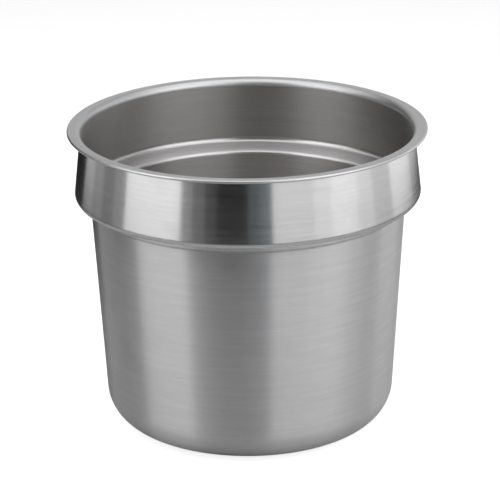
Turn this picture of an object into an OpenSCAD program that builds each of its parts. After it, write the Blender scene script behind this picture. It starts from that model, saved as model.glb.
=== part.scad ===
// Soup kettle pot: an open round pot drawn from one sheet of stainless steel.
// From the base up: flat base, rounded corner, tapered body, a sloping shoulder that
// steps out, a band that narrows towards the rim, and a flat flange whose edge is
// folded under into a hem.
// The origin is the centre of the base's underside, and +Z is the pot's axis.
// The section is one strip of sheet, given by the two skins that bound it: each skin is
// a chain of round bends, and the straight runs are what joins one bend to the next.

/* [Overall] */
// Outside diameter of the rim
rim_d = 275; // [273:1:300]
// Height from the base to the top of the rim
pot_h = 235; // [222:1:260]
// Thickness of the sheet
sheet = 0.8; // [0.6:0.1:1]

/* [Rim] */
// Thickness over the folded hem
hem_t = 2.3; // [2.1:0.1:3.2]
// Straight length of the leg folded under the flange
hem_return = 3.5; // [2:0.5:4.5]
// Radius under the lip, where the band turns out into the flange
lip_r = 3.8; // [2:0.1:6]

/* [Band] */
// Outside diameter of the band where its wall would reach the rim
neck_d = 254.4; // [246:0.2:256]
// Outside diameter of the band where its wall would reach the step's height
band_d = 267.5; // [262:0.5:270]
// Outside radius of the bend between the shoulder and the band
shoulder_r = 5; // [3:0.5:6.5]
// Height of the step, where the body's wall would meet the shoulder
step_z = 175.5; // [150:0.5:190]
// Angle at which the shoulder rises outwards from the step, in degrees
shoulder_rise = 30; // [20:1:38]

/* [Body] */
// Outside diameter of the body where its wall would meet the shoulder
body_top_d = 241.5; // [236:0.5:244]
// Outside diameter of the body where its wall would reach the base
body_base_d = 220.5; // [210:0.5:230]
// Outside radius where the body turns out under the shoulder
step_r = 2.5; // [2:0.5:4]
// Outside radius of the corner between the base and the body
corner_r = 28; // [15:1:45]

/* [Hidden] */

ROUND_FN = 180;
// Greatest gap between a bend and the short chords that follow it
CHORD_GAP = 0.03;

// A point at distance r and angle a from a bend's centre.
function polar(r, a) = [r * cos(a), r * sin(a)];

// Points along a bend about centre c, of radius r, from one angle to another.
function bend(c, r, from, to) =
    let (steps = ceil(abs(to - from) / 2 / acos(1 - CHORD_GAP / r)))
    [for (k = [0:steps]) c + polar(r, from + k * (to - from) / steps)];

function reversed(points) = [for (k = [len(points) - 1:-1:0]) points[k]];

// Lean of the two walls away from upright: the body opens upwards, the band closes.
body_taper = atan((body_top_d - body_base_d) / 2 / step_z);
band_taper = atan((band_d - neck_d) / 2 / (pot_h - step_z));

// Outside radius of each wall at height z.
function body_r(z) = body_base_d / 2 + z * tan(body_taper);
function band_r(z) = band_d / 2 - (z - step_z) * tan(band_taper);

// Radii of the bends along the middle of the sheet.
half = sheet / 2;
corner_mid_r = corner_r - half;
step_mid_r = step_r + half;
shoulder_mid_r = shoulder_r - half;
lip_mid_r = lip_r + half;
hem_mid_r = (hem_t - sheet) / 2;

// Directions that face out of the sheet's outer skin, as [radius, height].
out_of_body = [cos(body_taper), -sin(body_taper)];
out_of_shoulder = [sin(shoulder_rise), -cos(shoulder_rise)];
out_of_band = [cos(band_taper), sin(band_taper)];

// Point that stands off two lines by given distances. Each line is given by a point on
// it and the direction that faces out of it.
function stand_off(point_a, out_a, gap_a, point_b, out_b, gap_b) =
    let (a = point_a * out_a + gap_a, b = point_b * out_b + gap_b)
    [a * out_b[1] - b * out_a[1], out_a[0] * b - out_b[0] * a] / cross(out_a, out_b);

// Centres of the bends, as [radius, height].
corner_c = [body_r(corner_r) - corner_r / cos(body_taper), corner_r];
step_foot = [body_top_d / 2, step_z];
step_c = stand_off(step_foot, out_of_body, step_r, step_foot, out_of_shoulder, step_r);
shoulder_c = stand_off(
    step_foot, out_of_shoulder, -shoulder_r,
    [band_d / 2, step_z], out_of_band, -shoulder_r
);
lip_z = pot_h - sheet - lip_r;
lip_c = [band_r(lip_z) + lip_r / cos(band_taper), lip_z];
hem_c = [rim_d / 2 - hem_t / 2, pot_h - hem_t / 2];

// Base, corner and the foot of the body wall. Side is 1 on the outer skin and -1 on
// the inner one.
function body_skin(side) = concat(
    [[0, half - side * half]],
    bend(corner_c, corner_mid_r + side * half, -90, -body_taper)
);

// Step and shoulder, up to the foot of the band wall.
function band_skin(side) = concat(
    bend(step_c, step_mid_r - side * half, 180 - body_taper, 90 + shoulder_rise),
    bend(shoulder_c, shoulder_mid_r + side * half, shoulder_rise - 90, band_taper)
);

// Lip, flange and the hem folded under the flange's edge.
function rim_skin(side) = concat(
    bend(lip_c, lip_mid_r - side * half, 180 + band_taper, 90),
    bend(hem_c, hem_mid_r - side * half, 90, -90),
    [[hem_c[0] - hem_return, hem_c[1] - hem_mid_r + side * half]]
);

function skin(side) = concat(body_skin(side), band_skin(side), rim_skin(side));

// The whole pot, spun from its section.
module soup_pot() {
    color("silver")
        rotate_extrude($fn = ROUND_FN)
            polygon(concat(skin(1), reversed(skin(-1))));
}

soup_pot();
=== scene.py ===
"""Soup kettle pot in stainless sheet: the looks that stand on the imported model.

The pot is one spun and drawn sheet, so it is one piece here. Its section is drawn with a
pen that follows the sheet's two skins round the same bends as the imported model's, and
is spun once about the pot's axis. Each zone of the sheet has its own finish: flat rim,
bright band, satin body, brushed neck, ledge and inside, and dull base. All lengths are in
metres.
"""

import logging
import math
from dataclasses import dataclass, field
from enum import Enum

import bmesh
import bpy
from mathutils import Matrix, Vector


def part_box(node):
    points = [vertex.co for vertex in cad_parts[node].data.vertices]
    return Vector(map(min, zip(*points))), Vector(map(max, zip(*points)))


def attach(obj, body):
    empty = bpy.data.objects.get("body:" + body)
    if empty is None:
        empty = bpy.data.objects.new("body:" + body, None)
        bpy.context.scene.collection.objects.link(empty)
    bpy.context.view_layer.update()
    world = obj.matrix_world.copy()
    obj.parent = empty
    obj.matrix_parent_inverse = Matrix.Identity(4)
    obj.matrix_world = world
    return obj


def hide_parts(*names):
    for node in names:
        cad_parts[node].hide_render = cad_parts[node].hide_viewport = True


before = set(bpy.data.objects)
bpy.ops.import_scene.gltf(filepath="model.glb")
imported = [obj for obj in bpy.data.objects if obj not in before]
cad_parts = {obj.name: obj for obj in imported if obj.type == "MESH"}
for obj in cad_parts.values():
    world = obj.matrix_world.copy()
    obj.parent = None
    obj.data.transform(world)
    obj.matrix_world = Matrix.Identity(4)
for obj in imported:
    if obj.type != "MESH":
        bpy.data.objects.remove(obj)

LOG = logging.getLogger("soup_kettle")
NODE = "soup_pot"
BODY = "root"

Point = tuple[float, float]
Colour = tuple[float, float, float]


class Zone(Enum):
    """A stretch of the sheet that has one finish of its own."""

    BASE = "base"
    BODY = "body"
    SHOULDER = "shoulder"
    BAND = "band"
    RIM = "rim"
    NECK = "neck"
    LEDGE = "ledge"
    INSIDE = "inside"


class Skin(Enum):
    """One of the two skins of the sheet, as its side of the sheet's middle line."""

    OUTER = 1
    INNER = -1


# ----------------------------------------------------------------------------
# Shape
# ----------------------------------------------------------------------------


@dataclass(frozen=True)
class Bend:
    """One round bend of the sheet, seen in the pot's section.

    Attributes:
        name: What the bend is.
        centre: Centre of the bend, as radius and height.
        radius: Radius of the middle of the sheet.
        start: Angle at which the sheet comes into the bend, in degrees.
        end: Angle at which it leaves, in degrees.
        outer_side: 1 where the outer skin has the larger radius, -1 where the smaller.
        steps: Number of faces round the bend.
        wear: How far handling has polished the crest of the bend, from 0 to 1.
        shade_start: Painted shade on the outer skin where the bend starts, from 0 to 1:
            darkening put into the colour in the crease under the shoulder and round the base
            corner, where shade falls.
        shade_end: Painted shade where the bend ends.
    """

    name: str
    centre: Point
    radius: float
    start: float
    end: float
    outer_side: int
    steps: int
    wear: float = 0.0
    shade_start: float = 0.0
    shade_end: float = 0.0

    def skin_radius(self, skin: Skin, half_sheet: float) -> float:
        """Radius of one skin round the bend."""
        return self.radius + self.outer_side * skin.value * half_sheet

    def painted_shade(self, skin: Skin, share: float) -> float:
        """Painted shade on one skin after a share of the bend, none on the inner skin."""
        shaded = self.shade_start + share * (self.shade_end - self.shade_start)
        return shaded if skin is Skin.OUTER else 0.0

    def point(self, angle: float, skin: Skin, half_sheet: float) -> Point:
        """Place on one skin at an angle.

        Args:
            angle: Angle about the bend's centre, in degrees.
            skin: The skin that is followed.
            half_sheet: Half of the sheet's thickness.

        Returns:
            The place, as radius and height.
        """
        reach = self.skin_radius(skin, half_sheet)
        turn = math.radians(angle)
        return (
            self.centre[0] + reach * math.cos(turn),
            self.centre[1] + reach * math.sin(turn),
        )


def stand_off(
    first: tuple[Vector, Vector, float], second: tuple[Vector, Vector, float]
) -> Point:
    """Finds the point that stands off two lines by given distances.

    Args:
        first: A point on the first line, the direction out of it and the distance.
        second: The same for the second line.

    Returns:
        The point, as radius and height.
    """
    (at_a, out_a, gap_a), (at_b, out_b, gap_b) = first, second
    a, b = at_a @ out_a + gap_a, at_b @ out_b + gap_b
    area = out_a[0] * out_b[1] - out_a[1] * out_b[0]
    return (
        (a * out_b[1] - b * out_a[1]) / area,
        (out_a[0] * b - out_b[0] * a) / area,
    )


class SectionPen:
    """Draws a section in the XZ plane as one chain of vertices of a mesh.

    Attributes:
        mesh: The mesh that is drawn in.
        tip: The last vertex drawn.
        trail: Vertex layer with the length drawn before each vertex.
        wear: Vertex layer with how polished each vertex is.
        painted_shade: Vertex layer with how much painted shade each vertex gets.
        drawn: Length drawn so far.
        spans: For each zone drawn so far, the length at which it ended.
    """

    def __init__(self, mesh: bmesh.types.BMesh, start: Point) -> None:
        """Puts the pen down.

        Args:
            mesh: The mesh to draw in.
            start: Where the pen is put down, as radius and height.
        """
        self.mesh = mesh
        self.trail = mesh.verts.layers.float.new("trail")
        self.wear = mesh.verts.layers.float.new("wear")
        self.painted_shade = mesh.verts.layers.float.new("painted_shade")
        self.tip = bmesh.ops.create_vert(mesh, co=(start[0], 0.0, start[1]))["vert"][0]
        self.drawn = 0.0
        self.spans: list[tuple[float, Zone]] = []

    def _advance(
        self, vertex: bmesh.types.BMVert, wear: float = 0.0, painted_shade: float = 0.0
    ) -> None:
        """Makes a vertex the pen's tip.

        Args:
            vertex: The vertex that follows the tip.
            wear: How polished it is.
            painted_shade: How much painted shade it gets.
        """
        self.drawn += (vertex.co - self.tip.co).length
        vertex[self.trail] = self.drawn
        vertex[self.wear] = wear
        vertex[self.painted_shade] = painted_shade
        self.tip = vertex

    def _extrude_to(self, place: Vector) -> None:
        """Extrudes the tip to a place.

        Args:
            place: Where the new tip goes.
        """
        made = bmesh.ops.extrude_vert_indiv(self.mesh, verts=[self.tip])["verts"][0]
        bmesh.ops.translate(self.mesh, verts=[made], vec=place - made.co)
        self._advance(made)

    def line_to(self, end: Point, pitch: float, margin: float = 0.0018) -> None:
        """Draws a straight run with a support row near each end.

        Args:
            end: Where the run ends, as radius and height.
            pitch: Longest distance between two rows.
            margin: Distance of the support rows from the ends.
        """
        start, goal = self.tip.co.copy(), Vector((end[0], 0.0, end[1]))
        length = (goal - start).length
        shares = [1.0]
        if length > 3 * margin:
            inner = length - 2 * margin
            rows = max(1, math.ceil(inner / pitch))
            shares = [(margin + inner * k / rows) / length for k in range(rows + 1)]
            shares.append(1.0)
        for share in shares:
            self._extrude_to(start.lerp(goal, share))

    def turn(self, bend: Bend, skin: Skin, backwards: bool = False) -> None:
        """Draws a round bend by spinning the tip about the bend's centre.

        Args:
            bend: The bend.
            skin: The skin that is followed.
            backwards: True to follow the bend from its end to its start.
        """
        degrees = bend.end - bend.start
        if backwards:
            degrees = -degrees
        known = set(self.mesh.verts)
        bmesh.ops.spin(
            self.mesh,
            geom=[self.tip],
            cent=(bend.centre[0], 0.0, bend.centre[1]),
            axis=(0.0, -1.0, 0.0),
            angle=math.radians(degrees),
            steps=bend.steps,
        )
        crest = bend.wear if bend.outer_side * skin.value > 0 else 0.0
        made = [v for v in self.mesh.verts if v not in known]
        while made:
            nearest = next(
                e.other_vert(self.tip)
                for e in self.tip.link_edges
                if e.other_vert(self.tip) in made
            )
            made.remove(nearest)
            left = len(made) / bend.steps
            share = left if backwards else 1 - left
            # Each vertex takes the bend's wear and its painted shade, the darkening put into the
            # colour in the crease.
            self._advance(nearest, crest, bend.painted_shade(skin, share))

    def end_zone(self, zone: Zone) -> None:
        """Says that what was drawn since the last zone ended belongs to a zone."""
        self.spans.append((self.drawn, zone))


@dataclass
class SoupPot:
    """The whole pot: one sheet, spun from its section.

    Attributes:
        rim_radius: Outside radius of the rim.
        height: Height from the base to the top of the rim.
        sheet: Thickness of the sheet.
        hem: Thickness over the folded hem.
        hem_return: Straight length of the leg folded under the flange.
        lip_radius: Radius under the lip.
        neck_radius: Outside radius of the band where its wall would reach the rim.
        band_radius: Outside radius of the band where its wall would reach the step.
        shoulder_bend: Outside radius of the bend between the shoulder and the band.
        shoulder_rise: Angle at which the shoulder rises outwards, in degrees.
        step_height: Height of the step, where the body would meet the shoulder.
        body_top_radius: Outside radius of the body where it would meet the shoulder.
        body_base_radius: Outside radius of the body at the base.
        step_bend: Outside radius of the bend at the step.
        corner_bend: Outside radius of the bend at the base.
        segments: Number of faces round the pot.
        bends: The sheet's bends, once found.
        spans: For each zone of the section, the length at which it ends, once drawn.
    """

    rim_radius: float
    height: float
    sheet: float = 0.0008
    hem: float = 0.0023
    hem_return: float = 0.0035
    lip_radius: float = 0.0038
    neck_radius: float = 0.1272
    band_radius: float = 0.13375
    shoulder_bend: float = 0.005
    shoulder_rise: float = 30.0
    step_height: float = 0.1755
    body_top_radius: float = 0.12075
    body_base_radius: float = 0.11025
    step_bend: float = 0.0025
    corner_bend: float = 0.028
    segments: int = 256
    bends: list[Bend] = field(default_factory=list)
    spans: list[tuple[float, Zone]] = field(default_factory=list)

    @property
    def half(self) -> float:
        """Half of the sheet's thickness."""
        return self.sheet / 2

    def find_bends(self) -> None:
        """Works out the sheet's five bends from the pot's sizes."""
        body = math.atan(
            (self.body_top_radius - self.body_base_radius) / self.step_height
        )
        band = math.atan(
            (self.band_radius - self.neck_radius) / (self.height - self.step_height)
        )

        rise = math.radians(self.shoulder_rise)
        out_of_body = Vector((math.cos(body), -math.sin(body)))
        out_of_shoulder = Vector((math.sin(rise), -math.cos(rise)))
        out_of_band = Vector((math.cos(band), math.sin(band)))
        step_foot = Vector((self.body_top_radius, self.step_height))
        band_foot = Vector((self.band_radius, self.step_height))
        corner_wall = self.body_base_radius + self.corner_bend * math.tan(body)
        corner = (corner_wall - self.corner_bend / math.cos(body), self.corner_bend)
        step = stand_off(
            (step_foot, out_of_body, self.step_bend),
            (step_foot, out_of_shoulder, self.step_bend),
        )
        shoulder = stand_off(
            (step_foot, out_of_shoulder, -self.shoulder_bend),
            (band_foot, out_of_band, -self.shoulder_bend),
        )
        lip_z = self.height - self.sheet - self.lip_radius
        lip_wall = self.band_radius - (lip_z - self.step_height) * math.tan(band)
        lip = (lip_wall + self.lip_radius / math.cos(band), lip_z)
        hem = (self.rim_radius - self.hem / 2, self.height - self.hem / 2)
        body, band = math.degrees(body), math.degrees(band)
        # After the steps come wear and then painted shade at the bend's start and end: the
        # corner is darkest next to the base and the step darkens the crease under the shoulder,
        # both as painted shade.
        self.bends = [
            Bend(
                "corner", corner, self.corner_bend - self.half,
                -90, -body, 1, 16, 0.3, 1.0,
            ),
            Bend(
                "step", step, self.step_bend + self.half,
                180 - body, 90 + self.shoulder_rise, -1, 8, 0.0, 0.62, 0.62,
            ),
            Bend(
                "shoulder", shoulder, self.shoulder_bend - self.half,
                self.shoulder_rise - 90, band, 1, 14, 0.5,
            ),
            Bend("lip", lip, self.lip_radius + self.half, 180 + band, 90, -1, 12),
            Bend("hem", hem, (self.hem - self.sheet) / 2, 90, -90, -1, 16, 1.0),
        ]

    def draw_section(self, mesh: bmesh.types.BMesh) -> None:
        """Draws the sheet's closed section: outer skin, cut edge and inner skin.

        Args:
            mesh: The mesh that is drawn in.
        """
        corner, step, shoulder, lip, hem = self.bends
        pen = SectionPen(mesh, (0.0, 0.0))
        for bend, pitch in ((corner, 0.012), (step, 0.014), (shoulder, 0.01), (lip, 0.01)):
            pen.line_to(bend.point(bend.start, Skin.OUTER, self.half), pitch)
            if bend is corner:
                pen.end_zone(Zone.BASE)
            if bend is shoulder:
                pen.end_zone(Zone.SHOULDER)
            if bend is lip:
                pen.end_zone(Zone.BAND)
            pen.turn(bend, Skin.OUTER)
            if bend is step:
                pen.end_zone(Zone.BODY)
        pen.line_to(hem.point(hem.start, Skin.OUTER, self.half), 0.004, 0.0006)
        pen.turn(hem, Skin.OUTER)
        leg = hem.centre[0] - self.hem_return
        fold_top = hem.point(hem.end, Skin.OUTER, self.half)[1]
        fold_foot = hem.point(hem.end, Skin.INNER, self.half)[1]
        pen.line_to((leg, fold_top), 0.002, 0.0004)
        pen.line_to((leg, fold_foot), 0.0006, 0.0001)
        pen.line_to(hem.point(hem.end, Skin.INNER, self.half), 0.002, 0.0004)
        pen.turn(hem, Skin.INNER, backwards=True)
        pen.line_to(lip.point(lip.end, Skin.INNER, self.half), 0.004, 0.0006)
        pen.turn(lip, Skin.INNER, backwards=True)
        pen.end_zone(Zone.RIM)
        for bend, pitch in ((shoulder, 0.01), (step, 0.01), (corner, 0.014)):
            pen.line_to(bend.point(bend.end, Skin.INNER, self.half), pitch)
            if bend is shoulder:
                pen.end_zone(Zone.NECK)
            pen.turn(bend, Skin.INNER, backwards=True)
            if bend is step:
                pen.end_zone(Zone.LEDGE)
        pen.line_to((0.0, self.sheet), 0.012)
        pen.end_zone(Zone.INSIDE)
        self.spans = pen.spans

    def zone_of(self, trail: float) -> Zone:
        """Zone of a place on the section, from the length drawn before it."""
        return next((zone for end, zone in self.spans if trail < end), Zone.INSIDE)

    def build(self) -> bpy.types.Object:
        """Spins the section into the whole pot and marks each face's zone.

        Returns:
            The pot's object, at the origin.
        """
        self.find_bends()
        mesh = bmesh.new()
        self.draw_section(mesh)
        bmesh.ops.spin(
            mesh,
            geom=mesh.verts[:] + mesh.edges[:],
            cent=(0.0, 0.0, 0.0),
            axis=(0.0, 0.0, 1.0),
            angle=math.tau,
            steps=self.segments,
            use_merge=True,
        )
        bmesh.ops.remove_doubles(mesh, verts=mesh.verts[:], dist=1e-6)
        bmesh.ops.recalc_face_normals(mesh, faces=mesh.faces[:])
        trail = mesh.verts.layers.float["trail"]
        zones = list(Zone)
        for face in mesh.faces:
            middle = sum(v[trail] for v in face.verts) / len(face.verts)
            face.material_index = zones.index(self.zone_of(middle))
            face.smooth = True
        data = bpy.data.meshes.new("soup_pot_shell")
        mesh.to_mesh(data)
        mesh.free()
        pot = bpy.data.objects.new("soup_pot_shell", data)
        bpy.context.scene.collection.objects.link(pot)
        return pot

    def dress(self, pot: bpy.types.Object) -> None:
        """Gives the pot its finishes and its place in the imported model.

        Args:
            pot: The pot's object.
        """
        for zone in Zone:
            pot.data.materials.append(FINISHES[zone].make())
        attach(pot, BODY)
        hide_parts(NODE)


# ----------------------------------------------------------------------------
# Shared effects, as node groups
# ----------------------------------------------------------------------------


class NodeBench:
    """Adds and joins nodes of one tree with little writing."""

    def __init__(self, tree: bpy.types.NodeTree) -> None:
        """Takes the tree to work on."""
        self.tree = tree

    def add(self, kind: str, **settings: object) -> bpy.types.Node:
        """Adds a node.

        Args:
            kind: The node's type name.
            **settings: Properties to set on it.

        Returns:
            The node.
        """
        node = self.tree.nodes.new(kind)
        for name, value in settings.items():
            setattr(node, name, value)
        return node

    def feed(self, socket: bpy.types.NodeSocket, value: object) -> None:
        """Gives a socket a constant or a link.

        Args:
            socket: The input socket.
            value: A number, a tuple or an output socket.
        """
        if isinstance(value, bpy.types.NodeSocket):
            self.tree.links.new(value, socket)
        else:
            socket.default_value = value

    def math(self, operation: str, *values: object, clamp: bool = False) -> bpy.types.NodeSocket:
        """Adds a maths node.

        Args:
            operation: The node's operation.
            *values: Its inputs, as numbers or output sockets.
            clamp: True to keep the result between 0 and 1.

        Returns:
            The result's socket.
        """
        node = self.add("ShaderNodeMath", operation=operation, use_clamp=clamp)
        for socket, value in zip(node.inputs, values):
            self.feed(socket, value)
        return node.outputs[0]

    def remap(
        self, value: object, low: float, high: float, to_low: float, to_high: float
    ) -> bpy.types.NodeSocket:
        """Maps one range of a value to another, smoothly and within bounds.

        Args:
            value: The value, as an output socket.
            low: Value that gives to_low.
            high: Value that gives to_high.
            to_low: Result at low.
            to_high: Result at high.

        Returns:
            The result's socket.
        """
        node = self.add("ShaderNodeMapRange", interpolation_type="SMOOTHSTEP")
        for socket, entry in zip(node.inputs, (value, low, high, to_low, to_high)):
            self.feed(socket, entry)
        return node.outputs[0]

    def mix_colour(self, share: object, first: object, second: object) -> bpy.types.NodeSocket:
        """Mixes two colours.

        Args:
            share: Share of the second colour.
            first: First colour, as four numbers or an output socket.
            second: Second colour, in the same form.

        Returns:
            The mixed colour's socket.
        """
        node = self.add("ShaderNodeMix", data_type="RGBA")
        self.feed(node.inputs[0], share)
        self.feed(node.inputs[6], first)
        self.feed(node.inputs[7], second)
        return node.outputs[2]


class EffectGroup:
    """A node group that gives finishes one shared effect."""

    name = "effect"
    inputs: dict[str, float] = {}
    outputs: tuple[str, ...] = ()

    def make(self) -> bpy.types.NodeTree:
        """Makes the group, or finds it where it was made before.

        Returns:
            The group's tree.
        """
        tree = bpy.data.node_groups.get(self.name)
        if tree is not None:
            return tree
        tree = bpy.data.node_groups.new(self.name, "ShaderNodeTree")
        for label, default in self.inputs.items():
            socket = tree.interface.new_socket(
                label, in_out="INPUT", socket_type="NodeSocketFloat"
            )
            socket.default_value = default
        for label in self.outputs:
            tree.interface.new_socket(label, in_out="OUTPUT", socket_type="NodeSocketFloat")
        bench = NodeBench(tree)
        entry = bench.add("NodeGroupInput")
        leave = bench.add("NodeGroupOutput")
        self.fill(bench, entry, leave)
        return tree

    def fill(
        self, bench: NodeBench, entry: bpy.types.Node, leave: bpy.types.Node
    ) -> None:
        """Puts the effect's nodes in.

        Args:
            bench: Bench of the group's tree.
            entry: The group's input node.
            leave: The group's output node.
        """
        raise NotImplementedError

    def use(self, bench: NodeBench, **values: float) -> dict[str, bpy.types.NodeSocket]:
        """Uses the group in a finish.

        Args:
            bench: Bench of the finish's tree.
            **values: The group's inputs, with _ for a space.

        Returns:
            The group's outputs by name.
        """
        node = bench.add("ShaderNodeGroup", node_tree=self.make())
        for label, value in values.items():
            node.inputs[label.replace("_", " ")].default_value = value
        return {label: node.outputs[label] for label in self.outputs}


class SpunLines(EffectGroup):
    """Fine lines that run round the pot, as a turning brush leaves them."""

    name = "spun_lines"
    inputs = {"Pitch": 900.0, "Breaks": 3.0, "Contrast": 1.0}
    outputs = ("Lines",)

    def fill(
        self, bench: NodeBench, entry: bpy.types.Node, leave: bpy.types.Node
    ) -> None:
        """Stretches noise along the circles about the pot's axis.

        Args:
            bench: Bench of the group's tree.
            entry: The group's input node.
            leave: The group's output node.
        """
        place = bench.add("ShaderNodeTexCoord").outputs["Object"]
        split = bench.add("ShaderNodeSeparateXYZ")
        bench.feed(split.inputs[0], place)
        x, y, z = split.outputs
        flat = bench.add("ShaderNodeVectorMath", operation="LENGTH")
        ring = bench.add("ShaderNodeCombineXYZ")
        bench.feed(ring.inputs[0], x)
        bench.feed(ring.inputs[1], y)
        bench.feed(flat.inputs[0], ring.outputs[0])
        radius = bench.math("MAXIMUM", flat.outputs["Value"], 0.0001)
        breaks, pitch = entry.outputs["Breaks"], entry.outputs["Pitch"]
        spread = bench.add("ShaderNodeCombineXYZ")
        bench.feed(spread.inputs[0], bench.math("MULTIPLY", radius, pitch))
        bench.feed(
            spread.inputs[1], bench.math("MULTIPLY", bench.math("DIVIDE", x, radius), breaks)
        )
        bench.feed(spread.inputs[2], bench.math("MULTIPLY", z, pitch))
        noise = bench.add("ShaderNodeTexNoise", noise_dimensions="4D")
        bench.feed(noise.inputs["Vector"], spread.outputs[0])
        bench.feed(
            noise.inputs["W"], bench.math("MULTIPLY", bench.math("DIVIDE", y, radius), breaks)
        )
        bench.feed(noise.inputs["Scale"], 1.0)
        bench.feed(noise.inputs["Detail"], 2.0)
        middle = bench.math("SUBTRACT", noise.outputs[0], 0.5)
        strong = bench.math("MULTIPLY", middle, entry.outputs["Contrast"])
        bench.feed(leave.inputs["Lines"], bench.math("ADD", strong, 0.5))


class SheetWaves(EffectGroup):
    """Slow waves that drawing and handling leave in thin sheet."""

    name = "sheet_waves"
    inputs = {"Scale": 14.0}
    outputs = ("Height",)

    def fill(
        self, bench: NodeBench, entry: bpy.types.Node, leave: bpy.types.Node
    ) -> None:
        """Uses one slow noise.

        Args:
            bench: Bench of the group's tree.
            entry: The group's input node.
            leave: The group's output node.
        """
        place = bench.add("ShaderNodeTexCoord").outputs["Object"]
        noise = bench.add("ShaderNodeTexNoise")
        bench.feed(noise.inputs["Vector"], place)
        bench.feed(noise.inputs["Scale"], entry.outputs["Scale"])
        bench.feed(noise.inputs["Detail"], 1.0)
        bench.feed(leave.inputs["Height"], noise.outputs[0])


class HandMarks(EffectGroup):
    """Cloudy smears and small spots from hands, cloths and dried water."""

    name = "hand_marks"
    inputs = {"Scale": 22.0}
    outputs = ("Smears", "Spots")

    def fill(
        self, bench: NodeBench, entry: bpy.types.Node, leave: bpy.types.Node
    ) -> None:
        """Uses a cloudy noise for the smears and sparse cells for the spots.

        Args:
            bench: Bench of the group's tree.
            entry: The group's input node.
            leave: The group's output node.
        """
        place = bench.add("ShaderNodeTexCoord").outputs["Object"]
        cloud = bench.add("ShaderNodeTexNoise")
        bench.feed(cloud.inputs["Vector"], place)
        bench.feed(cloud.inputs["Scale"], entry.outputs["Scale"])
        bench.feed(cloud.inputs["Detail"], 4.0)
        bench.feed(cloud.inputs["Distortion"], 0.6)
        bench.feed(leave.inputs["Smears"], bench.remap(cloud.outputs[0], 0.52, 0.72, 0.0, 1.0))
        cells = bench.add("ShaderNodeTexVoronoi")
        bench.feed(cells.inputs["Vector"], place)
        bench.feed(cells.inputs["Scale"], bench.math("MULTIPLY", entry.outputs["Scale"], 5.0))
        dots = bench.remap(cells.outputs["Distance"], 0.06, 0.12, 1.0, 0.0)
        chosen = bench.math("GREATER_THAN", cloud.outputs[0], 0.56)
        bench.feed(leave.inputs["Spots"], bench.math("MULTIPLY", dots, chosen))


class CrestWearAndShade(EffectGroup):
    """Masks of rubbed crests and of painted shade in creases, both broken up by noise."""

    name = "crest_wear_and_shade"
    inputs = {"Amount": 1.0}
    outputs = ("Mask", "Painted Shade")

    def fill(
        self, bench: NodeBench, entry: bpy.types.Node, leave: bpy.types.Node
    ) -> None:
        """Breaks the mesh's wear and painted-shade attributes up with noise.

        Args:
            bench: Bench of the group's tree.
            entry: The group's input node.
            leave: The group's output node.
        """
        place = bench.add("ShaderNodeTexCoord").outputs["Object"]
        worn = bench.add("ShaderNodeAttribute", attribute_name="wear")
        noise = bench.add("ShaderNodeTexNoise")
        bench.feed(noise.inputs["Vector"], place)
        bench.feed(noise.inputs["Scale"], 160.0)
        bench.feed(noise.inputs["Detail"], 3.0)
        broken = bench.remap(noise.outputs[0], 0.35, 0.65, 0.2, 1.0)
        mask = bench.math("MULTIPLY", worn.outputs["Fac"], broken)
        bench.feed(
            leave.inputs["Mask"],
            bench.math("MULTIPLY", mask, entry.outputs["Amount"], clamp=True),
        )
        # Painted shade: the darkening in the crease under the shoulder and at the base corner,
        # squared and made patchy.
        shaded = bench.add("ShaderNodeAttribute", attribute_name="painted_shade").outputs["Fac"]
        patchy = bench.remap(noise.outputs[0], 0.3, 0.7, 0.7, 1.0)
        deep = bench.math("MULTIPLY", shaded, shaded)
        bench.feed(leave.inputs["Painted Shade"], bench.math("MULTIPLY", deep, patchy, clamp=True))


# ----------------------------------------------------------------------------
# Finishes
# ----------------------------------------------------------------------------

FINE_PITCH, FINE_BREAKS = 1500.0, 6.0
BROAD_PITCH, BROAD_BREAKS = 380.0, 1.6
FILM_TINT, FILM_SHARE = (0.93, 0.93, 0.9), 0.4
RUBBED_GAIN = 1.06
RUBBED_ROUGHNESS = -0.05
# Colour scale of the painted shade in the crease under the shoulder and at the base corner.
PAINTED_SHADE_GAIN = 0.30
ROUND_THE_POT = 0.25


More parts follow.
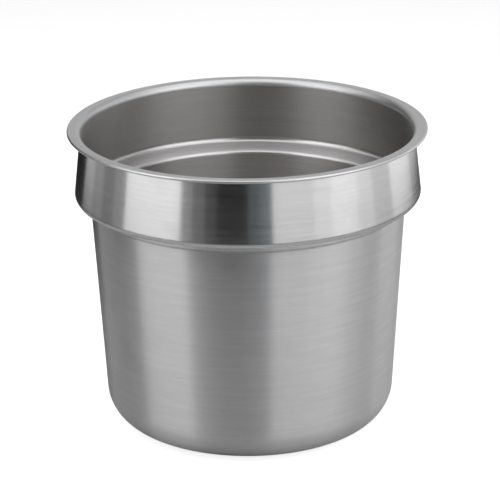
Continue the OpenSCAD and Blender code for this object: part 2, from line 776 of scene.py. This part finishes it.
@dataclass(frozen=True)
class SpunSteel:
    """Stainless steel with a brushed finish that runs round the pot.

    Attributes:
        name: The material's name.
        tint: Colour of the clean metal; on the shoulder it is raised as a painted highlight.
        roughness: Mean roughness.
        anisotropy: How far the brushing stretches highlights across its lines.
        line_rough: How much the lines change the roughness.
        line_tone: How much the lines change the colour.
        line_height: Height of the fine lines.
        band_height: Height of the broad turning marks.
        wave_height: Height of the sheet's slow waves.
        smear: Share of dulling under smears.
    """

    name: str
    tint: Colour
    roughness: float
    anisotropy: float = 0.8
    line_rough: float = 0.08
    line_tone: float = 0.06
    line_height: float = 0.000002
    band_height: float = 0.00001
    wave_height: float = 0.00012
    smear: float = 0.03

    def make(self) -> bpy.types.Material:
        """Makes the material.

        Returns:
            The material.
        """
        material = bpy.data.materials.new(self.name)
        material.use_nodes = True
        bench = NodeBench(material.node_tree)
        shader = material.node_tree.nodes["Principled BSDF"]
        fine = SpunLines().use(bench, Pitch=FINE_PITCH, Breaks=FINE_BREAKS)["Lines"]
        broad = SpunLines().use(bench, Pitch=BROAD_PITCH, Breaks=BROAD_BREAKS)["Lines"]
        marks = HandMarks().use(bench)
        edges = CrestWearAndShade().use(bench)
        waves = SheetWaves().use(bench)["Height"]
        self._colour(bench, shader, fine, broad, {**marks, **edges})
        self._roughness(bench, shader, fine, broad, {**marks, **edges})
        self._bumps(bench, shader, fine, broad, waves)
        shader.inputs["Metallic"].default_value = 1.0
        shader.inputs["Anisotropic"].default_value = self.anisotropy
        shader.inputs["Anisotropic Rotation"].default_value = ROUND_THE_POT
        tangent = bench.add("ShaderNodeTangent", direction_type="RADIAL", axis="Z")
        bench.feed(shader.inputs["Tangent"], tangent.outputs[0])
        return material

    def _colour(
        self,
        bench: NodeBench,
        shader: bpy.types.Node,
        fine: bpy.types.NodeSocket,
        broad: bpy.types.NodeSocket,
        marks: dict[str, bpy.types.NodeSocket],
    ) -> None:
        """Colours the metal: lines, smears and worn crests shift it a little, and painted shade
        darkens the creases.

        Args:
            bench: Bench of the material's tree.
            shader: The material's shader.
            fine: Fine lines.
            broad: Broad lines.
            marks: Masks of smears, spots, painted shade and worn crests.
        """
        dark = tuple(c * (1 - self.line_tone) for c in self.tint) + (1.0,)
        light = tuple(min(1.0, c * (1 + self.line_tone)) for c in self.tint) + (1.0,)
        both = bench.math("MULTIPLY", bench.math("ADD", fine, broad), 0.5)
        metal = bench.mix_colour(bench.remap(both, 0.3, 0.7, 0.0, 1.0), dark, light)
        film = tuple(c * f for c, f in zip(self.tint, FILM_TINT)) + (1.0,)
        share = bench.math("MULTIPLY", marks["Smears"], FILM_SHARE)
        filmed = bench.mix_colour(share, metal, film)
        bright = tuple(min(1.0, c * RUBBED_GAIN) for c in self.tint) + (1.0,)
        rubbed = bench.mix_colour(marks["Mask"], filmed, bright)
        # Painted shade: the crease and base-corner darkening is mixed into the colour here.
        painted_dark = tuple(c * PAINTED_SHADE_GAIN for c in self.tint) + (1.0,)
        bench.feed(
            shader.inputs["Base Color"], bench.mix_colour(marks["Painted Shade"], rubbed, painted_dark)
        )

    def _roughness(
        self,
        bench: NodeBench,
        shader: bpy.types.Node,
        fine: bpy.types.NodeSocket,
        broad: bpy.types.NodeSocket,
        marks: dict[str, bpy.types.NodeSocket],
    ) -> None:
        """Varies the roughness with the lines, smears, spots and worn crests.

        Args:
            bench: Bench of the material's tree.
            shader: The material's shader.
            fine: Fine lines.
            broad: Broad lines.
            marks: Masks of smears, spots, painted shade and worn crests.
        """
        both = bench.math("SUBTRACT", bench.math("ADD", fine, broad), 1.0)
        level = bench.math("MULTIPLY_ADD", both, self.line_rough, self.roughness)
        level = bench.math("MULTIPLY_ADD", marks["Smears"], self.smear, level)
        level = bench.math("MULTIPLY_ADD", marks["Spots"], self.smear, level)
        level = bench.math("MULTIPLY_ADD", marks["Mask"], RUBBED_ROUGHNESS, level, clamp=True)
        bench.feed(shader.inputs["Roughness"], level)

    def _bumps(
        self,
        bench: NodeBench,
        shader: bpy.types.Node,
        fine: bpy.types.NodeSocket,
        broad: bpy.types.NodeSocket,
        waves: bpy.types.NodeSocket,
    ) -> None:
        """Raises the sheet's waves, the turning marks and the fine lines.

        Args:
            bench: Bench of the material's tree.
            shader: The material's shader.
            fine: Fine lines.
            broad: Broad lines.
            waves: Slow waves.
        """
        normal = None
        for height, amount in (
            (waves, self.wave_height),
            (broad, self.band_height),
            (fine, self.line_height),
        ):
            bump = bench.add("ShaderNodeBump")
            bench.feed(bump.inputs["Height"], height)
            bump.inputs["Distance"].default_value = amount
            if normal is not None:
                bench.feed(bump.inputs["Normal"], normal)
            normal = bump.outputs[0]
        bench.feed(shader.inputs["Normal"], normal)


FINISHES: dict[Zone, SpunSteel] = {
    Zone.BASE: SpunSteel("steel_base", (0.60, 0.60, 0.59), 0.42, 0.6, smear=0.08),
    Zone.BODY: SpunSteel(
        "steel_body", (0.885, 0.875, 0.885), 0.35, 1.0,
        line_rough=0.04, line_tone=0.04, band_height=0.000004, wave_height=0.00008,
    ),
    # The shoulder's lighter tint is a painted highlight for the light its slope catches, on the
    # same steel as the body.
    Zone.SHOULDER: SpunSteel("steel_shoulder_painted_highlight", (0.97, 0.96, 0.97), 0.30, 0.8),
    Zone.BAND: SpunSteel("steel_band", (0.825, 0.815, 0.825), 0.21, 0.9),
    Zone.RIM: SpunSteel("steel_rim", (0.82, 0.82, 0.83), 0.42, 0.4),
    Zone.NECK: SpunSteel("steel_neck", (0.585, 0.575, 0.565), 0.60, 0.96),
    Zone.LEDGE: SpunSteel("steel_ledge", (0.79, 0.775, 0.78), 0.30, 0.75),
    Zone.INSIDE: SpunSteel("steel_inside", (0.61, 0.595, 0.585), 0.38, 0.88),
}


# ----------------------------------------------------------------------------
# Studio
# ----------------------------------------------------------------------------


@dataclass(frozen=True)
class Panel:
    """One upright softbox that stands on the floor and faces the pot.

    Attributes:
        name: The panel's name.
        left: Bearing of its left edge, in degrees. 0 is the camera's side of the pot.
        right: Bearing of its right edge. Bearings grow towards the camera's right.
        foot: Height of its lower edge.
        top: Height of its upper edge.
        radiance: Brightness of its lower part.
        lift: Brightness of its upper part, as a multiple of the lower part's.
        split: Height at which the upper part begins.
        tint: Colour of its light.
        reach: Distance from the pot's axis.
    """

    name: str
    left: float
    right: float
    foot: float
    top: float
    radiance: float
    lift: float = 1.0
    split: float = 0.3
    tint: Colour = (1.0, 1.0, 1.0)
    reach: float = 0.9

    def build(self) -> list[bpy.types.Object]:
        """Makes the panel as a lower and an upper area light.

        Returns:
            The lights' objects.
        """
        if self.lift == 1.0 or self.top <= self.split:
            return [self._light(self.name, self.foot, self.top, self.radiance)]
        return [
            self._light(self.name, self.foot, self.split, self.radiance),
            self._light(self.name + "_upper", self.split, self.top, self.radiance * self.lift),
        ]

    def _light(self, name: str, foot: float, top: float, radiance: float) -> bpy.types.Object:
        """Makes one area light.

        Args:
            name: The light's name.
            foot: Height of its lower edge.
            top: Height of its upper edge.
            radiance: Brightness of its face.

        Returns:
            The light's object.
        """
        light = bpy.data.lights.new(name, "AREA")
        light.shape = "RECTANGLE"
        light.size = 2 * self.reach * math.tan(math.radians(self.right - self.left) / 2)
        light.size_y = top - foot
        light.energy = radiance * light.size * light.size_y * math.pi
        light.color = self.tint
        lamp = bpy.data.objects.new(name, light)
        bearing = math.radians((self.left + self.right) / 2)
        place = Vector(
            (
                self.reach * math.sin(bearing),
                -self.reach * math.cos(bearing),
                (foot + top) / 2,
            )
        )
        aim = Vector((-place.x, -place.y, 0.0))
        lamp.matrix_world = Matrix.Translation(place) @ aim.to_track_quat(
            "-Z", "Y"
        ).to_matrix().to_4x4()
        lamp.visible_camera = False
        bpy.context.scene.collection.objects.link(lamp)
        return lamp


@dataclass(frozen=True)
class Overhead:
    """The square softbox that hangs over the pot.

    Attributes:
        side: Length of its side.
        height: Its height above the floor.
        radiance: Brightness of its face.
    """

    side: float = 1.7
    height: float = 1.35
    radiance: float = 1.0

    def build(self) -> bpy.types.Object:
        """Makes the softbox as an area light.

        Returns:
            The light's object.
        """
        light = bpy.data.lights.new("overhead", "AREA")
        light.shape = "SQUARE"
        light.size = self.side
        light.energy = self.radiance * self.side**2 * math.pi
        lamp = bpy.data.objects.new("overhead", light)
        lamp.location = (0.0, 0.0, self.height)
        lamp.visible_camera = False
        bpy.context.scene.collection.objects.link(lamp)
        return lamp


@dataclass
class Studio:
    """Pale floor, dim surroundings for reflections, softboxes and camera.

    Attributes:
        floor_size: Side of the square floor.
        surround: Brightness of the surroundings in reflections.
        table_radius: Radius of the floor that still looks pale in reflections.
        table_fade: Width over which the floor darkens past that radius.
        table_tone: Tone of the floor in reflections, inside that radius.
        far_tone: Tone of the floor in reflections, past the fade.
        camera_tone: Tone and glow of the floor as the camera sees it.
        panels: The upright softboxes.
        overhead: The softbox over the pot.
        camera_place: Place of the camera.
        camera_pitch: How far the camera looks down, in degrees.
        camera_roll: How far it is turned about its view, in degrees.
        lens: Focal length for a 36 mm sensor, in millimetres.
    """

    floor_size: float = 12.0
    surround: float = 0.02
    table_radius: float = 0.42
    table_fade: float = 0.25
    table_tone: float = 0.50
    far_tone: float = 0.04
    camera_tone: float = 0.8
    panels: tuple[Panel, ...] = ()
    overhead: Overhead = Overhead()
    camera_place: tuple[float, float, float] = (0.00107, -1.8758, 0.8039)
    camera_pitch: float = 19.65
    camera_roll: float = -0.64
    lens: float = 185.1

    def build_camera(self) -> bpy.types.Object:
        """Places the camera and makes it the scene's.

        Returns:
            The camera's object.
        """
        data = bpy.data.cameras.new("camera")
        data.lens = self.lens
        data.sensor_width = 36.0
        data.clip_end = 50.0
        camera = bpy.data.objects.new("camera", data)
        turn = Matrix.Rotation(math.radians(90 - self.camera_pitch), 4, "X")
        roll = Matrix.Rotation(math.radians(self.camera_roll), 4, "Z")
        camera.matrix_world = Matrix.Translation(self.camera_place) @ turn @ roll
        bpy.context.scene.collection.objects.link(camera)
        bpy.context.scene.camera = camera
        return camera

    def build_world(self) -> None:
        """Makes the surroundings white to the camera and dim in reflections."""
        world = bpy.data.worlds.new("surroundings")
        world.use_nodes = True
        bench = NodeBench(world.node_tree)
        world.node_tree.nodes.clear()
        rays = bench.add("ShaderNodeLightPath")
        dim = bench.add("ShaderNodeBackground")
        dim.inputs["Color"].default_value = (0.92, 0.97, 1.0, 1.0)
        dim.inputs["Strength"].default_value = self.surround
        white = bench.add("ShaderNodeBackground")
        white.inputs["Color"].default_value = (1.0, 1.0, 1.0, 1.0)
        mix = bench.add("ShaderNodeMixShader")
        bench.feed(mix.inputs[0], rays.outputs["Is Camera Ray"])
        bench.feed(mix.inputs[1], dim.outputs[0])
        bench.feed(mix.inputs[2], white.outputs[0])
        out = bench.add("ShaderNodeOutputWorld")
        bench.feed(out.inputs[0], mix.outputs[0])
        bpy.context.scene.world = world

    def build_floor(self) -> bpy.types.Object:
        """Lays the floor.

        Returns:
            The floor's object.
        """
        mesh = bmesh.new()
        bmesh.ops.create_grid(mesh, x_segments=1, y_segments=1, size=self.floor_size / 2)
        data = bpy.data.meshes.new("floor")
        mesh.to_mesh(data)
        mesh.free()
        floor = bpy.data.objects.new("floor", data)
        bpy.context.scene.collection.objects.link(floor)
        data.materials.append(self._floor_finish())
        return floor

    def _floor_finish(self) -> bpy.types.Material:
        """Makes a floor that is pale to the camera and grey in reflections.

        Returns:
            The floor's material.
        """
        material = bpy.data.materials.new("floor_cloth")
        material.use_nodes = True
        bench = NodeBench(material.node_tree)
        material.node_tree.nodes.clear()
        cloth = bench.add("ShaderNodeBsdfDiffuse")
        place = bench.add("ShaderNodeTexCoord").outputs["Object"]
        away = bench.add("ShaderNodeVectorMath", operation="LENGTH")
        bench.feed(away.inputs[0], place)
        rays = bench.add("ShaderNodeLightPath")
        fade = bench.remap(
            away.outputs["Value"],
            self.table_radius,
            self.table_radius + self.table_fade,
            self.table_tone,
            self.far_tone,
        )
        seen = bench.math("MULTIPLY", rays.outputs[0], self.camera_tone)
        shade = bench.math("MAXIMUM", fade, seen)
        bench.feed(cloth.inputs["Color"], shade)
        glow = bench.add("ShaderNodeEmission")
        bench.feed(glow.inputs["Strength"], seen)
        both = bench.add("ShaderNodeAddShader")
        bench.feed(both.inputs[0], cloth.outputs[0])
        bench.feed(both.inputs[1], glow.outputs[0])
        out = bench.add("ShaderNodeOutputMaterial")
        bench.feed(out.inputs[0], both.outputs[0])
        return material

    def build(self) -> None:
        """Builds the camera, the surroundings, the floor and the softboxes."""
        camera = self.build_camera()
        self.build_world()
        floor = self.build_floor()
        lamps = [lamp for panel in self.panels for lamp in panel.build()]
        lamps.append(self.overhead.build())
        for piece in (camera, floor, *lamps):
            LOG.info("%s: in place", piece.name)
        bpy.context.scene.view_settings.view_transform = "Standard"


PANELS = (
    Panel("left_stripe", -130.0, -116.0, 0.0, 0.24, 0.52),
    Panel("left_fill_1", -116.0, -104.0, 0.0, 0.24, 0.36),
    Panel("left_fill_2", -104.0, -92.0, 0.0, 0.24, 0.24),
    Panel("left_fill_3", -92.0, -82.0, 0.0, 0.24, 0.34),
    Panel("left_high", -120.0, -82.0, 0.60, 1.3, 0.65),
    Panel("left_key", -82.0, -41.5, 0.0, 1.3, 1.02, lift=1.3),
    Panel("left_fade_1", -41.5, -34.0, 0.0, 1.0, 0.27),
    Panel("left_fade_2", -34.0, -26.0, 0.0, 1.0, 0.14),
    Panel("left_fade_3", -26.0, -19.0, 0.0, 1.0, 0.05),
    Panel("front_card_1", 0.0, 7.0, 0.0, 0.8, 0.09, tint=(0.85, 1.0, 1.03)),
    Panel("front_card_2", 7.0, 14.5, 0.0, 0.8, 0.15, tint=(0.85, 1.0, 1.03)),
    Panel("right_key_1", 14.5, 40.0, 0.0, 1.2, 0.75, lift=1.5),
    Panel("right_key_2", 40.0, 52.0, 0.0, 1.2, 0.88, lift=1.5),
    Panel("right_key_3", 52.0, 72.0, 0.0, 1.2, 1.05, lift=1.3),
    Panel("right_key_4", 72.0, 84.0, 0.0, 1.2, 0.90),
    Panel("right_fill", 84.0, 102.0, 0.0, 1.0, 0.72, lift=0.75),
    Panel("right_back", 102.0, 130.0, 0.0, 1.0, 1.10, lift=0.6),
    Panel("right_rear", 130.0, 155.0, 0.0, 1.0, 0.75, lift=0.6),
    Panel("back", 155.0, 205.0, 0.15, 0.8, 0.5),
)


def main() -> None:
    """Builds the studio and the pot."""
    logging.basicConfig(level=logging.INFO, format="%(message)s")
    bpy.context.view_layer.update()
    Studio(panels=PANELS).build()
    low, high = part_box(NODE)
    pot = SoupPot(
        rim_radius=min(-low[0], -low[1], high[0], high[1]), height=high[2] - low[2]
    )
    shell = pot.build()
    pot.dress(shell)
    LOG.info("%s: %d faces", shell.name, len(shell.data.polygons))


if __name__ == "__main__":
    main()
